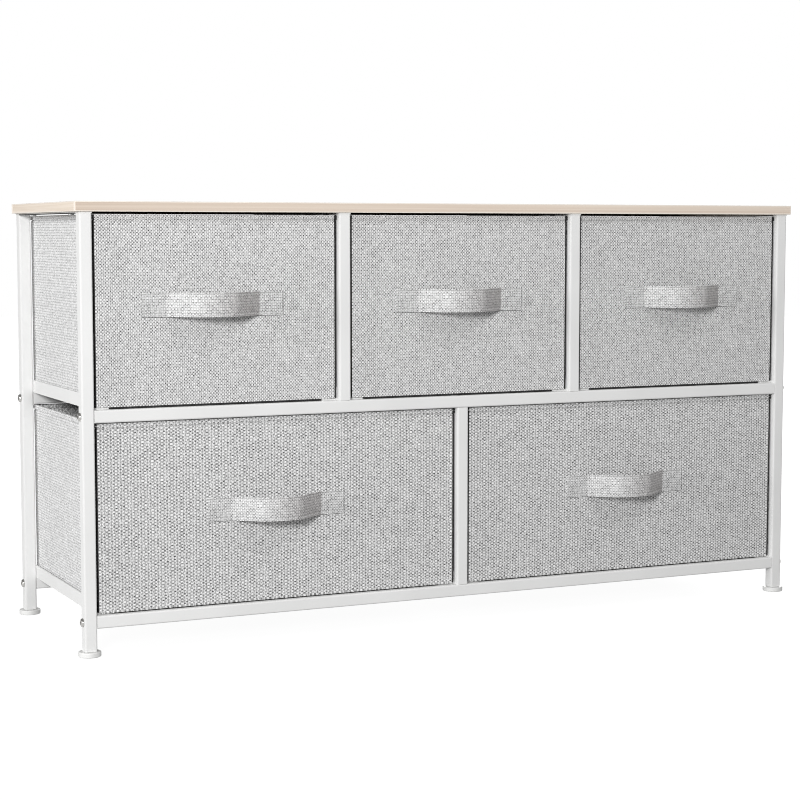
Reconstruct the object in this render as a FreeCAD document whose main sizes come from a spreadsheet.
import FreeCAD
import Part
import Sketcher
import os

# Fabric drawer dresser: a white steel frame with a wood-look top and five fabric drawers on angle runners.
# Millimetres. +X is to the right, +Y to the back and +Z up. The front is at -Y, and the origin lies on the
# floor under the middle of the outline, which the handle loops widen to the front.

SIZES = {
    # Top panel and how far it stands out over the frame
    "panel_width": 1000,
    "panel_depth": 300,
    "panel_thickness": 12,
    "panel_edge_round": 0.6,
    "side_overhang": 5,
    "front_overhang": 2.5,
    "rear_overhang": 2.5,
    # Square tube of the posts and rails
    "tube_width": 15,
    "tube_wall": 1,
    "tube_corner": 2,
    # Heights: floor to the bottom rail, and the clear height of the lower and the upper bays
    "bottom_rail_lift": 33,
    "lower_opening": 227,
    "upper_opening": 230,
    # Flat bars under the panel, and the angle runners that carry the drawers
    "bar_thickness": 2,
    "runner_leg": 16,
    "runner_ledge": 20,
    "runner_thickness": 2,
    "runner_seat": 5,
    # Feet
    "foot_diameter": 27,
    "foot_height": 6,
    "foot_rim_round": 1.2,
    "foot_stem_length": 13,
    "foot_play": 0.3,
    # Bolts of the frame and the dividers, and the plugs that they and the feet screw into
    "bolt_head_height": 3,
    "bolt_head_round": 2.2,
    "bolt_socket": 4,
    "bolt_socket_depth": 1.8,
    "bolt_bite": 10,
    "bolt_play": 0.15,
    "insert_length": 14,
    "insert_play": 0.1,
    # Bolts and feet's stems are picked to suit the tube: their diameters over its width
    "bolt_ratio": 0.4,
    "bolt_head_ratio": 0.7,
    "foot_stem_ratio": 0.4,
    # Wood screws that hold the panel
    "screw_diameter": 3.5,
    "screw_head_diameter": 7,
    "screw_head_height": 2,
    "screw_head_round": 0.8,
    "screw_play": 0.1,
    "screw_inset": 60,
    "pilot_spare": 1,
    "pilot_cover": 3,
    # Room around the drawers in their bays
    "drawer_side_gap": 4.5,
    "drawer_recess": 7,
    "drawer_rear_gap": 2.5,
    "drawer_lift": 0.3,
    "upper_headroom": 3,
    "lower_headroom": 2.2,
    # Fabric bins and their boards
    "bin_wall": 2,
    "bin_floor": 1.5,
    "hem_height": 5.5,
    "hem_proud": 1.2,
    "front_board_thickness": 3,
    "front_board_play": 0.2,
    "base_board_thickness": 3,
    "base_board_play": 1,
    # Handle straps
    "strap_tab": 29,
    "strap_width": 29,
    "strap_thickness": 1.6,
    "loop_span": 120,
    "loop_bulge": 30,
    "upper_strap_rise": 5.4,
    "lower_strap_rise": 2.2,
    # How far to the right of its drawer's middle each strap is sewn
    "upper_left_strap_shift": -5.4,
    "upper_middle_strap_shift": -1.6,
    "upper_right_strap_shift": 5.7,
    "lower_left_strap_shift": -6.9,
    "lower_right_strap_shift": 1.6,
}

doc = FreeCAD.newDocument("fabric_drawer_dresser")
sheet = doc.addObject("Spreadsheet::Sheet", "dims")
for row, (alias, size) in enumerate(SIZES.items(), 1):
    cell = "A%d" % row
    sheet.set(cell, str(size))
    sheet.setAlias(cell, alias)
doc.recompute()

# Places that several pieces share, as expressions over the driving sizes
FRAME_WIDTH = "(dims.panel_width - 2 * dims.side_overhang)"
FRAME_DEPTH = "(dims.panel_depth - dims.front_overhang - dims.rear_overhang)"
HALF_TUBE = "(dims.tube_width / 2)"
TUBE_INSIDE = "(dims.tube_width - 2 * dims.tube_wall)"
INNER_CORNER = "max(dims.tube_corner - dims.tube_wall; 0.2)"

POST_BOTTOM = "(dims.foot_height + dims.foot_play)"
BOTTOM_RAIL_TOP = "(dims.bottom_rail_lift + dims.tube_width)"
BOTTOM_RAIL_MIDDLE = f"(dims.bottom_rail_lift + {HALF_TUBE})"
MID_RAIL_UNDERSIDE = f"({BOTTOM_RAIL_TOP} + dims.lower_opening)"
MID_RAIL_MIDDLE = f"({MID_RAIL_UNDERSIDE} + {HALF_TUBE})"
MID_RAIL_TOP = f"({MID_RAIL_UNDERSIDE} + dims.tube_width)"
PANEL_UNDERSIDE = f"({MID_RAIL_TOP} + dims.upper_opening)"
POST_TOP = f"({PANEL_UNDERSIDE} - dims.bar_thickness)"

# How far the foremost and the rearmost piece stand out past the panel: a handle loop, and a foot's rim
LOOP_REACH = "(dims.loop_bulge + dims.strap_thickness - dims.drawer_recess - dims.front_overhang)"
FOOT_REACH = f"(dims.foot_diameter / 2 - {HALF_TUBE})"
FRONT_REACH = f"max({LOOP_REACH}; {FOOT_REACH} - dims.front_overhang; 0)"
REAR_REACH = f"max({FOOT_REACH} - dims.rear_overhang; 0)"
PANEL_MIDDLE = f"(({FRONT_REACH} - {REAR_REACH}) / 2)"
FRONT_FACE = f"({PANEL_MIDDLE} - dims.panel_depth / 2 + dims.front_overhang)"
REAR_FACE = f"({FRONT_FACE} + {FRAME_DEPTH})"
FRAME_MIDDLE = f"(({FRONT_FACE} + {REAR_FACE}) / 2)"
FRONT_ROW = f"({FRONT_FACE} + {HALF_TUBE})"
REAR_ROW = f"({REAR_FACE} - {HALF_TUBE})"

POST_REACH = f"({FRAME_WIDTH} / 2 - {HALF_TUBE})"
RAIL_LENGTH = f"({FRAME_WIDTH} - 2 * dims.tube_width)"
UPPER_BAY = f"(({FRAME_WIDTH} - 4 * dims.tube_width) / 3)"
LOWER_BAY = f"(({FRAME_WIDTH} - 3 * dims.tube_width) / 2)"
DIVIDER_REACH = f"(({UPPER_BAY} + dims.tube_width) / 2)"
SCREW_REACH = f"({FRAME_DEPTH} / 2 - dims.screw_inset)"

INSERT_WIDTH = f"({TUBE_INSIDE} - 2 * dims.insert_play)"
BOLT_DIAMETER = "(dims.bolt_ratio * dims.tube_width)"
BOLT_HOLE = f"({BOLT_DIAMETER} + 2 * dims.bolt_play)"
BOLT_HEAD = "(dims.bolt_head_ratio * dims.tube_width)"
HEAD_HOLE = f"({BOLT_HEAD} + 2 * dims.bolt_play)"
FOOT_STEM = "(dims.foot_stem_ratio * dims.tube_width)"
FOOT_HOLE = f"({FOOT_STEM} + 2 * dims.foot_play)"
SCREW_HOLE = "(dims.screw_diameter + 2 * dims.screw_play)"
PILOT_DEPTH = "(dims.panel_thickness - dims.pilot_cover)"
SCREW_BITE = f"({PILOT_DEPTH} - dims.pilot_spare)"
POCKET = "(dims.front_board_thickness + 2 * dims.front_board_play)"
FRONT_WALL = f"({POCKET} + 2 * dims.bin_wall)"
BIN_DEPTH = f"({FRAME_DEPTH} - dims.drawer_recess - dims.drawer_rear_gap)"
DRAWER_FRONT = f"({FRONT_FACE} + dims.drawer_recess)"
RUNNER_HEIGHT = "(dims.runner_thickness + dims.drawer_lift)"
UPPER_FLOOR = f"({MID_RAIL_TOP} + {RUNNER_HEIGHT})"
UPPER_DRAWER = f"({PANEL_UNDERSIDE} - dims.upper_headroom - {UPPER_FLOOR})"
LOWER_FLOOR = f"({BOTTOM_RAIL_TOP} + {RUNNER_HEIGHT})"
LOWER_DRAWER = f"({MID_RAIL_UNDERSIDE} - dims.lower_headroom - {LOWER_FLOOR})"

# A round takes up no more than this share of the wall that it is on
ROUND_RATIO = 0.9

X_AXIS = FreeCAD.Vector(1, 0, 0)
Y_AXIS = FreeCAD.Vector(0, 1, 0)
Z_AXIS = FreeCAD.Vector(0, 0, 1)
NO_TURN = (Z_AXIS, 0)

nodes = []


def measure(expression):
    """What an expression over the sheet comes to, in millimetres."""
    return float(sheet.evalExpression(expression))


def plus(first, second):
    return f"({first} + {second})"


def minus(first, second):
    return f"({first} - ({second}))"


def negative(expression):
    return f"(0 - ({expression}))"


def half(expression):
    return f"(({expression}) / 2)"


def place(piece, x, y, z, turn=NO_TURN):
    """Ties a piece's place to the sheet; turn is an axis and an angle."""
    piece.Placement = FreeCAD.Placement(FreeCAD.Vector(), FreeCAD.Rotation(*turn))
    for axis, expression in zip("xyz", (x, y, z)):
        piece.setExpression("Placement.Base." + axis, expression)


def new_body(label, is_node=True):
    body = doc.addObject("PartDesign::Body", label)
    body.Label = label
    if is_node:
        nodes.append(body)
    return body


def new_sketch(body, name, role, height=None):
    """A sketch on one of the body's own origin planes, raised by an expression where one is given."""
    plane = next(item for item in body.Origin.OriginFeatures if item.Role == role)
    sketch = body.newObject("Sketcher::SketchObject", name)
    sketch.AttachmentSupport = [(plane, "")]
    sketch.MapMode = "FlatFace"
    if height:
        sketch.setExpression("AttachmentOffset.Base.z", height)
    return sketch


def add_size(sketch, kind, *reference, size):
    """A sketch dimension that follows an expression."""
    index = sketch.addConstraint(Sketcher.Constraint(kind, *reference, measure(size)))
    sketch.setExpression("Constraints[%d]" % index, size)


def fix_point(sketch, geometry, end, x, y):
    """Ties one point of a line, arc or circle to its distances from the sketch's origin."""
    for kind, axis, size in (("DistanceX", -2, x), ("DistanceY", -1, y)):
        if size == "0":
            sketch.addConstraint(Sketcher.Constraint("PointOnObject", geometry, end, axis))
        else:
            add_size(sketch, kind, -1, 1, geometry, end, size=size)


def draw_outline(sketch, corners):
    """A closed outline of straight lines through corners given as pairs of expressions."""
    points = [FreeCAD.Vector(measure(x), measure(y), 0) for x, y in corners]
    count = len(points)
    lines = [
        sketch.addGeometry(Part.LineSegment(points[i], points[(i + 1) % count]), False) for i in range(count)
    ]
    for i, (x, y) in enumerate(corners):
        sketch.addConstraint(Sketcher.Constraint("Coincident", lines[i - 1], 2, lines[i], 1))
        fix_point(sketch, lines[i], 1, x, y)


def draw_rectangle(sketch, left, right, low, high):
    draw_outline(sketch, [(left, low), (right, low), (right, high), (left, high)])


def draw_circle(sketch, x, y, diameter):
    centre = FreeCAD.Vector(measure(x), measure(y), 0)
    circle = sketch.addGeometry(Part.Circle(centre, Z_AXIS, measure(diameter) / 2), False)
    fix_point(sketch, circle, 3, x, y)
    add_size(sketch, "Diameter", circle, size=diameter)


def draw_rounded_square(sketch, width, corner):
    """A square about the sketch's origin, with a round of the same radius at each corner."""
    reach = measure(width) / 2
    radius = measure(corner)
    flat = reach - radius
    sides = []
    rounds = []
    for turn in range(4):
        spin = FreeCAD.Rotation(Z_AXIS, 90 * turn)
        start = spin.multVec(FreeCAD.Vector(-flat, -reach, 0))
        finish = spin.multVec(FreeCAD.Vector(flat, -reach, 0))
        bend = spin.multVec(FreeCAD.Vector(flat + radius * 0.5 ** 0.5, -flat - radius * 0.5 ** 0.5, 0))
        after = spin.multVec(FreeCAD.Vector(reach, -flat, 0))
        sides.append(sketch.addGeometry(Part.LineSegment(start, finish), False))
        rounds.append(sketch.addGeometry(Part.Arc(finish, bend, after), False))
    for turn in range(4):
        sketch.addConstraint(Sketcher.Constraint("Tangent", sides[turn], 2, rounds[turn], 1))
        sketch.addConstraint(Sketcher.Constraint("Tangent", rounds[turn], 2, sides[(turn + 1) % 4], 1))
    for turn in (0, 2):
        sketch.addConstraint(Sketcher.Constraint("Horizontal", sides[turn]))
        sketch.addConstraint(Sketcher.Constraint("Vertical", sides[turn + 1]))
    for turn in (1, 2, 3):
        sketch.addConstraint(Sketcher.Constraint("Equal", rounds[0], rounds[turn]))
    add_size(sketch, "Radius", rounds[0], size=corner)
    add_size(sketch, "DistanceY", sides[0], 1, -1, 1, size=half(width))
    add_size(sketch, "DistanceX", -1, 1, sides[1], 1, size=half(width))
    add_size(sketch, "DistanceY", -1, 1, sides[2], 1, size=half(width))
    add_size(sketch, "DistanceX", sides[3], 1, -1, 1, size=half(width))


def pad(body, sketch, length, both_ways=False):
    feature = body.newObject("PartDesign::Pad", sketch.Name + "_pad")
    feature.Profile = sketch
    feature.SideType = "Symmetric" if both_ways else "One side"
    feature.setExpression("Length", length)
    doc.recompute()
    return feature


def pocket(body, sketch, depth=None, both_ways=False, upwards=False):
    """Cuts the sketch out of the body, right through where no depth is given, and sees that it did."""
    before = body.Shape.Volume
    feature = body.newObject("PartDesign::Pocket", sketch.Name + "_cut")
    feature.Profile = sketch
    feature.SideType = "Symmetric" if both_ways else "One side"
    feature.Reversed = upwards
    if depth:
        feature.setExpression("Length", depth)
    else:
        feature.Type = "ThroughAll"
    doc.recompute()
    if not body.Shape.Volume < before:
        raise RuntimeError("nothing was cut by " + feature.Name)
    return feature


def revolve(body, sketch):
    feature = body.newObject("PartDesign::Revolution", sketch.Name + "_turned")
    feature.Profile = sketch
    feature.ReferenceAxis = (sketch, ["V_Axis"])
    feature.Angle = 360
    doc.recompute()
    return feature


def round_rims(body, feature, diameter, heights, radius):
    """Rounds the circular edges of one diameter that lie at the given heights."""
    reach = measure(diameter) / 2
    levels = [measure(height) for height in heights]
    names = []
    for number, edge in enumerate(feature.Shape.Edges, 1):
        is_rim = edge.Curve.TypeId == "Part::GeomCircle" and abs(edge.Curve.Radius - reach) < 1e-6
        if is_rim and min(abs(edge.Curve.Center.z - level) for level in levels) < 1e-6:
            names.append("Edge%d" % number)
    rounding = body.newObject("PartDesign::Fillet", feature.Name + "_round")
    rounding.Base = (feature, names)
    rounding.setExpression("Radius", radius)
    doc.recompute()


def tube(label, role, length, both_ways=False):
    """A length of the frame's square tube, square to one of its origin planes."""
    body = new_body(label)
    profile = new_sketch(body, label + "_profile", role)
    draw_rounded_square(profile, "dims.tube_width", "dims.tube_corner")
    draw_rounded_square(profile, TUBE_INSIDE, INNER_CORNER)
    pad(body, profile, length, both_ways)
    return body


def corner_post(label, x, y):
    """A corner post from its foot to its top bar, drilled across for the two rails' bolts."""
    body = tube(label, "XY_Plane", minus(POST_TOP, POST_BOTTOM))
    holes = new_sketch(body, label + "_holes", "YZ_Plane")
    for height in (BOTTOM_RAIL_MIDDLE, MID_RAIL_MIDDLE):
        draw_circle(holes, "0", minus(height, POST_BOTTOM), BOLT_HOLE)
    pocket(body, holes, both_ways=True)
    place(body, x, y, POST_BOTTOM)


def rail(label, y, middle, bolts_up, bolts_down):
    """A rail between two corner posts. A divider's bolt enters by a wide hole and bears on the far wall."""
    body = tube(label, "YZ_Plane", RAIL_LENGTH, both_ways=True)
    above = new_sketch(body, label + "_holes_above", "XY_Plane")
    below = new_sketch(body, label + "_holes_below", "XY_Plane")
    for x in bolts_up:
        draw_circle(above, x, "0", BOLT_HOLE)
        draw_circle(below, x, "0", HEAD_HOLE)
    for x in bolts_down:
        draw_circle(above, x, "0", HEAD_HOLE)
        draw_circle(below, x, "0", BOLT_HOLE)
    pocket(body, above, upwards=True)
    pocket(body, below)
    place(body, "0", y, middle)


def runner(label, x, height, faces_right):
    """A steel angle from rail to rail: its leg is fixed to the posts, and a drawer slides on its ledge."""
    body = new_body(label)
    profile = new_sketch(body, label + "_profile", "XZ_Plane")
    thickness = "dims.runner_thickness"
    draw_outline(
        profile,
        [
            ("0", "0"),
            ("dims.runner_ledge", "0"),
            ("dims.runner_ledge", thickness),
            (thickness, thickness),
            (thickness, "dims.runner_leg"),
            ("0", "dims.runner_leg"),
        ],
    )
    pad(body, profile, f"({FRAME_DEPTH} - 2 * dims.tube_width + 2 * dims.runner_seat)", both_ways=True)
    place(body, x, FRAME_MIDDLE, height, (Z_AXIS, 0 if faces_right else 180))


def top_bar(label, x):
    """A flat bar over a front and a rear post, with a screw hole near each end."""
    body = new_body(label)
    outline = new_sketch(body, label + "_outline", "XY_Plane")
    draw_rectangle(outline, negative(HALF_TUBE), HALF_TUBE, negative(half(FRAME_DEPTH)), half(FRAME_DEPTH))
    pad(body, outline, "dims.bar_thickness")
    holes = new_sketch(body, label + "_holes", "XY_Plane")
    for y in (negative(SCREW_REACH), SCREW_REACH):
        draw_circle(holes, "0", y, SCREW_HOLE)
    pocket(body, holes, upwards=True)
    place(body, x, FRAME_MIDDLE, POST_TOP)


def top_panel(bar_places):
    """The board, with eased edges and a pilot hole above each screw."""
    body = new_body("top_panel")
    outline = new_sketch(body, "panel_outline", "XY_Plane")
    width = half("dims.panel_width")
    depth = half("dims.panel_depth")
    draw_rectangle(outline, negative(width), width, negative(depth), depth)
    board = pad(body, outline, "dims.panel_thickness")
    eased = body.newObject("PartDesign::Fillet", "panel_edges")
    eased.Base = (board, ["Edge%d" % number for number in range(1, len(board.Shape.Edges) + 1)])
    eased.setExpression("Radius", "dims.panel_edge_round")
    doc.recompute()
    pilots = new_sketch(body, "panel_pilots", "XY_Plane")
    offset = minus(FRAME_MIDDLE, PANEL_MIDDLE)
    for x in bar_places:
        for y in (minus(offset, SCREW_REACH), plus(offset, SCREW_REACH)):
            draw_circle(pilots, x, y, SCREW_HOLE)
    pocket(body, pilots, PILOT_DEPTH, upwards=True)
    place(body, "0", PANEL_MIDDLE, PANEL_UNDERSIDE)


def headed_pin(label, head, head_height, head_round, shank, length):
    """A bolt or screw, not a node by itself: the head's seat is at height 0 and the shank points up."""
    body = new_body(label, is_node=False)
    profile = new_sketch(body, label + "_profile", "XZ_Plane")
    draw_outline(
        profile,
        [
            ("0", negative(head_height)),
            (half(head), negative(head_height)),
            (half(head), "0"),
            (half(shank), "0"),
            (half(shank), length),
            ("0", length),
        ],
    )
    rounding = f"min({head_round}; {ROUND_RATIO} * {head_height})"
    round_rims(body, revolve(body, profile), head, [negative(head_height)], rounding)
    return body


def bolt(label, length):
    """A button-head bolt with a hexagon socket."""
    body = headed_pin(
        label, BOLT_HEAD, "dims.bolt_head_height", "dims.bolt_head_round", BOLT_DIAMETER, length
    )
    socket = new_sketch(body, label + "_socket", "XY_Plane", negative("dims.bolt_head_height"))
    flat = half("dims.bolt_socket")
    point = "(dims.bolt_socket / sqrt(3))"
    draw_outline(
        socket,
        [
            (point, "0"),
            (half(point), flat),
            (negative(half(point)), flat),
            (negative(point), "0"),
            (negative(half(point)), negative(flat)),
            (half(point), negative(flat)),
        ],
    )
    pocket(body, socket, "dims.bolt_socket_depth", upwards=True)
    return body


def insert(label, bore):
    """A threaded plug for the end of a tube, not a node by itself: its mouth is at height 0."""
    body = new_body(label, is_node=False)
    profile = new_sketch(body, label + "_profile", "XY_Plane")
    corner = f"max({INNER_CORNER} - dims.insert_play; 0.1)"
    draw_rounded_square(profile, INSERT_WIDTH, corner)
    draw_circle(profile, "0", "0", bore)
    pad(body, profile, "dims.insert_length")
    return body


def group_of(label, master, seats):
    """One node of separate copies of a fastener; a seat is its x, y and z and the turn it takes there."""
    copies = []
    for number, (x, y, z, turn) in enumerate(seats, 1):
        copy = doc.addObject("App::Link", "%s_%d" % (label, number))
        copy.LinkedObject = master
        place(copy, x, y, z, turn)
        copies.append(copy)
    group = doc.addObject("Part::Compound", label)
    group.Label = label
    group.Links = copies
    nodes.append(group)


def foot(label, x, y):
    """A plastic disc with a rounded rim, on a threaded stem."""
    body = new_body(label)
    profile = new_sketch(body, label + "_profile", "XZ_Plane")
    rim = half("dims.foot_diameter")
    stem = half(FOOT_STEM)
    stem_top = plus("dims.foot_height", "dims.foot_stem_length")
    draw_outline(
        profile,
        [
            ("0", "0"),
            (rim, "0"),
            (rim, "dims.foot_height"),
            (stem, "dims.foot_height"),
            (stem, stem_top),
            ("0", stem_top),
        ],
    )
    rounding = f"min(dims.foot_rim_round; {ROUND_RATIO} * dims.foot_height / 2)"
    disc = revolve(body, profile)
    round_rims(body, disc, "dims.foot_diameter", ["0", "dims.foot_height"], rounding)
    place(body, x, y, "0")


def fabric_bin(label, bay, height):
    """An open box of fabric with a bound hem and, in its front wall, a pocket for the front board."""
    body = new_body(label)
    side = half(minus(bay, "2 * dims.drawer_side_gap"))
    inside = minus(side, "dims.bin_wall")
    outline = new_sketch(body, label + "_outline", "XY_Plane")
    draw_rectangle(outline, negative(side), side, "0", BIN_DEPTH)
    pad(body, outline, height)
    hem = new_sketch(body, label + "_hem", "XY_Plane", minus(height, "dims.hem_height"))
    hem_side = plus(side, "dims.hem_proud")
    draw_rectangle(hem, negative(hem_side), hem_side, "0", plus(BIN_DEPTH, "dims.hem_proud"))
    pad(body, hem, "dims.hem_height")
    hollow = new_sketch(body, label + "_hollow", "XY_Plane", "dims.bin_floor")
    draw_rectangle(hollow, negative(inside), inside, FRONT_WALL, minus(BIN_DEPTH, "dims.bin_wall"))
    pocket(body, hollow, upwards=True)
    slot = new_sketch(body, label + "_slot", "XY_Plane", "dims.bin_floor")
    draw_rectangle(slot, negative(inside), inside, "dims.bin_wall", plus("dims.bin_wall", POCKET))
    pocket(body, slot, upwards=True)
    return body


def front_board(label, bay, height):
    """The stiff board in the pocket of a bin's front wall, just lower than the hem's top."""
    body = new_body(label)
    side = minus(half(minus(bay, "2 * dims.drawer_side_gap")), "dims.bin_wall + dims.front_board_play")
    outline = new_sketch(body, label + "_outline", "XY_Plane", "dims.bin_floor")
    near = "(dims.bin_wall + dims.front_board_play)"
    draw_rectangle(outline, negative(side), side, near, plus(near, "dims.front_board_thickness"))
    pad(body, outline, minus(height, "dims.bin_floor + dims.front_board_play"))
    return body


def base_board(label, bay):
    """The loose board on a bin's floor."""
    body = new_body(label)
    side = minus(half(minus(bay, "2 * dims.drawer_side_gap")), "dims.bin_wall + dims.base_board_play")
    outline = new_sketch(body, label + "_outline", "XY_Plane", "dims.bin_floor")
    rear = minus(BIN_DEPTH, "dims.bin_wall + dims.base_board_play")
    draw_rectangle(outline, negative(side), side, plus(FRONT_WALL, "dims.base_board_play"), rear)
    pad(body, outline, "dims.base_board_thickness")
    return body


def strap(label):
    """A webbing handle: two flat sewn ends against the front and one round loop between them."""
    body = new_body(label)
    profile = new_sketch(body, label + "_profile", "XY_Plane")
    span = half("dims.loop_span")
    end = plus(span, "dims.strap_tab")
    face = negative("dims.strap_thickness")
    radius = f"(({span} ^ 2 + dims.loop_bulge ^ 2) / (2 * dims.loop_bulge))"
    outer = plus(radius, "dims.strap_thickness")
    outer_span = f"sqrt({outer} ^ 2 - ({outer} - dims.loop_bulge) ^ 2)"
    corners = [
        (negative(end), "0"),
        (negative(span), "0"),
        (span, "0"),
        (end, "0"),
        (end, face),
        (outer_span, face),
        (negative(outer_span), face),
        (negative(end), face),
    ]
    points = [FreeCAD.Vector(measure(x), measure(y), 0) for x, y in corners]
    crown = FreeCAD.Vector(0, -measure("dims.loop_bulge"), 0)
    outer_crown = crown + FreeCAD.Vector(0, measure(face), 0)
    edges = []
    for i in range(len(points)):
        after = points[(i + 1) % len(points)]
        if i == 1:
            edge = Part.Arc(points[i], crown, after)
        elif i == 5:
            edge = Part.Arc(after, outer_crown, points[i])
        else:
            edge = Part.LineSegment(points[i], after)
        edges.append(profile.addGeometry(edge, False))
    for i, (x, y) in enumerate(corners):
        before = edges[i - 1]
        arrives = 1 if i == 6 else 2
        leaves = 2 if i == 5 else 1
        profile.addConstraint(Sketcher.Constraint("Coincident", before, arrives, edges[i], leaves))
        fix_point(profile, edges[i], leaves, x, y)
    add_size(profile, "Radius", edges[1], size=radius)
    add_size(profile, "Radius", edges[5], size=outer)
    pad(body, profile, "dims.strap_width", both_ways=True)
    return body


def drawer(name, middle, bay, floor, height, strap_rise):
    """One drawer: the bin, its two boards and its handle, all placed from the bin's front and floor."""
    for piece in (
        fabric_bin(name + "_bin", bay, height),
        front_board(name + "_front_board", bay, height),
        base_board(name + "_base_board", bay),
    ):
        place(piece, middle, DRAWER_FRONT, floor)
    sewn_at = plus(middle, f"dims.{name}_strap_shift")
    place(strap(name + "_strap"), sewn_at, DRAWER_FRONT, f"({floor} + {height} / 2 + {strap_rise})")


# Frame
SIDES = (("left", negative(POST_REACH)), ("right", POST_REACH))
ROWS = (("front", FRONT_ROW), ("rear", REAR_ROW))
UPPER_DIVIDERS = (("left", negative(DIVIDER_REACH)), ("right", DIVIDER_REACH))
LEVELS = (("mid", MID_RAIL_TOP), ("bottom", BOTTOM_RAIL_TOP))

top_panel([x for _, x in SIDES + UPPER_DIVIDERS])
for side, x in SIDES:
    top_bar(side + "_top_bar", x)
    for row, y in ROWS:
        corner_post("%s_%s_post" % (row, side), x, y)
    for level, height in LEVELS:
        inner_face = plus(x, HALF_TUBE) if side == "left" else minus(x, HALF_TUBE)
        runner("%s_%s_runner" % (side, level), inner_face, height, faces_right=side == "left")
for row, y in ROWS:
    rail(row + "_mid_rail", y, MID_RAIL_MIDDLE, [x for _, x in UPPER_DIVIDERS], ["0"])
    rail(row + "_bottom_rail", y, BOTTOM_RAIL_MIDDLE, ["0"], [])

# Dividers: each has a front and a rear post and a runner on both faces
for side, x in UPPER_DIVIDERS:
    name = "upper_%s_divider" % side
    top_bar(name + "_top_bar", x)
    for row, y in ROWS:
        post = tube("%s_%s_post" % (name, row), "XY_Plane", minus(POST_TOP, MID_RAIL_TOP))
        place(post, x, y, MID_RAIL_TOP)
    runner(name + "_left_runner", minus(x, HALF_TUBE), MID_RAIL_TOP, faces_right=False)
    runner(name + "_right_runner", plus(x, HALF_TUBE), MID_RAIL_TOP, faces_right=True)
for row, y in ROWS:
    post = tube("lower_divider_%s_post" % row, "XY_Plane", "dims.lower_opening")
    place(post, "0", y, BOTTOM_RAIL_TOP)
runner("lower_divider_left_runner", negative(HALF_TUBE), BOTTOM_RAIL_TOP, faces_right=False)
runner("lower_divider_right_runner", HALF_TUBE, BOTTOM_RAIL_TOP, faces_right=True)

# Fasteners, in groups
TURN_RIGHT = (Y_AXIS, 90)
TURN_LEFT = (Y_AXIS, -90)
TURN_DOWN = (X_AXIS, 180)
OUTER_FACE = f"({FRAME_WIDTH} / 2)"
RAIL_END = half(RAIL_LENGTH)
MIDDLES = (BOTTOM_RAIL_MIDDLE, MID_RAIL_MIDDLE)

frame_bolt = bolt("frame_bolt", plus("dims.tube_width", "dims.bolt_bite"))
rail_insert = insert("rail_insert", BOLT_HOLE)
bolt_seats = []
insert_seats = []
for _, y in ROWS:
    for z in MIDDLES:
        bolt_seats.append((negative(OUTER_FACE), y, z, TURN_RIGHT))
        bolt_seats.append((OUTER_FACE, y, z, TURN_LEFT))
        insert_seats.append((negative(RAIL_END), y, z, TURN_RIGHT))
        insert_seats.append((RAIL_END, y, z, TURN_LEFT))
group_of("frame_bolts", frame_bolt, bolt_seats)
group_of("rail_inserts", rail_insert, insert_seats)

divider_bolt = bolt("divider_bolt", plus("dims.tube_wall", "dims.bolt_bite"))
bolt_seats = []
insert_seats = []
for _, y in ROWS:
    for _, x in UPPER_DIVIDERS:
        bolt_seats.append((x, y, minus(MID_RAIL_TOP, "dims.tube_wall"), NO_TURN))
        insert_seats.append((x, y, MID_RAIL_TOP, NO_TURN))
    bolt_seats.append(("0", y, minus(BOTTOM_RAIL_TOP, "dims.tube_wall"), NO_TURN))
    insert_seats.append(("0", y, BOTTOM_RAIL_TOP, NO_TURN))
    bolt_seats.append(("0", y, plus(MID_RAIL_UNDERSIDE, "dims.tube_wall"), TURN_DOWN))
    insert_seats.append(("0", y, MID_RAIL_UNDERSIDE, TURN_DOWN))
group_of("divider_bolts", divider_bolt, bolt_seats)
group_of("divider_inserts", rail_insert, insert_seats)

panel_screw = headed_pin(
    "panel_screw",
    "dims.screw_head_diameter",
    "dims.screw_head_height",
    "dims.screw_head_round",
    "dims.screw_diameter",
    plus("dims.bar_thickness", SCREW_BITE),
)
screw_seats = []
for _, x in SIDES + UPPER_DIVIDERS:
    for y in (minus(FRAME_MIDDLE, SCREW_REACH), plus(FRAME_MIDDLE, SCREW_REACH)):
        screw_seats.append((x, y, POST_TOP, NO_TURN))
group_of("top_screws", panel_screw, screw_seats)

# Feet and the plugs that they screw into
foot_insert = insert("foot_insert", FOOT_HOLE)
group_of("foot_inserts", foot_insert, [(x, y, POST_BOTTOM, NO_TURN) for _, x in SIDES for _, y in ROWS])
for side, x in SIDES:
    for row, y in ROWS:
        foot("%s_%s_foot" % (row, side), x, y)

# Drawers
UPPER_STEP = plus(UPPER_BAY, "dims.tube_width")
LOWER_STEP = half(plus(LOWER_BAY, "dims.tube_width"))
for side, middle in (("left", negative(UPPER_STEP)), ("middle", "0"), ("right", UPPER_STEP)):
    drawer("upper_" + side, middle, UPPER_BAY, UPPER_FLOOR, UPPER_DRAWER, "dims.upper_strap_rise")
for side, middle in (("left", negative(LOWER_STEP)), ("right", LOWER_STEP)):
    drawer("lower_" + side, middle, LOWER_BAY, LOWER_FLOOR, LOWER_DRAWER, "dims.lower_strap_rise")

# Nothing is written unless every piece is sound
doc.recompute()
for item in doc.Objects:
    if "Invalid" in item.State or "Error" in item.State:
        raise RuntimeError("failed: " + item.Label)
for node in nodes:
    if node.Shape.isNull() or not node.Shape.isValid():
        raise RuntimeError("not a sound shape: " + node.Label)

os.makedirs("parts", exist_ok=True)
for node in nodes:
    node.Shape.exportStep(os.path.join("parts", node.Label + ".step"))
print(len(nodes), "pieces written")
